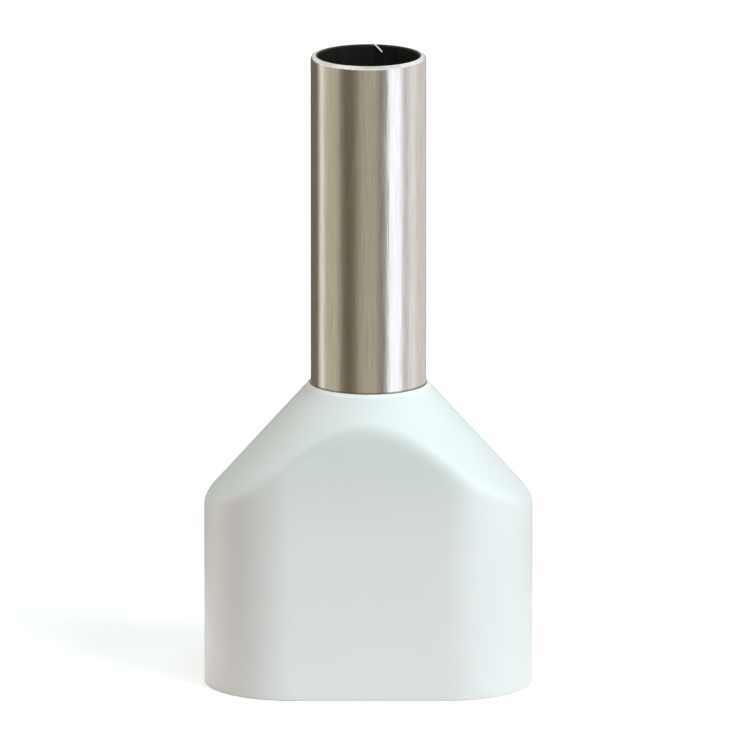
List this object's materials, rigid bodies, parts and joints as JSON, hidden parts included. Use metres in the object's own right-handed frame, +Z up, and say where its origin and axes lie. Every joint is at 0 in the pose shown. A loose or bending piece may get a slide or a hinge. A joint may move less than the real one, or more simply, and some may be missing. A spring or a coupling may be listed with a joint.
{
  "type": "twin wire ferrule",
  "caption": "Insulated ferrule for crimping a pair of stranded wires: an open tinned sleeve in a flat, round-ended plastic collar with a cone-shaped neck.",
  "frame": {"origin": "centre of the collar's open mouth, where the wires enter, in the plane of its rim", "axes": "+Z up the sleeve to its tip, X along the collar's wide direction, Y through its depth"},
  "size_m": [0.0076, 0.0042, 0.015],
  "materials": {
    "tinned_copper": "satin",
    "white_plastic": "satin"
  },
  "bodies": {
    "root": {"collar": "white_plastic", "sleeve": "tinned_copper"}
  },
  "joints": []
}
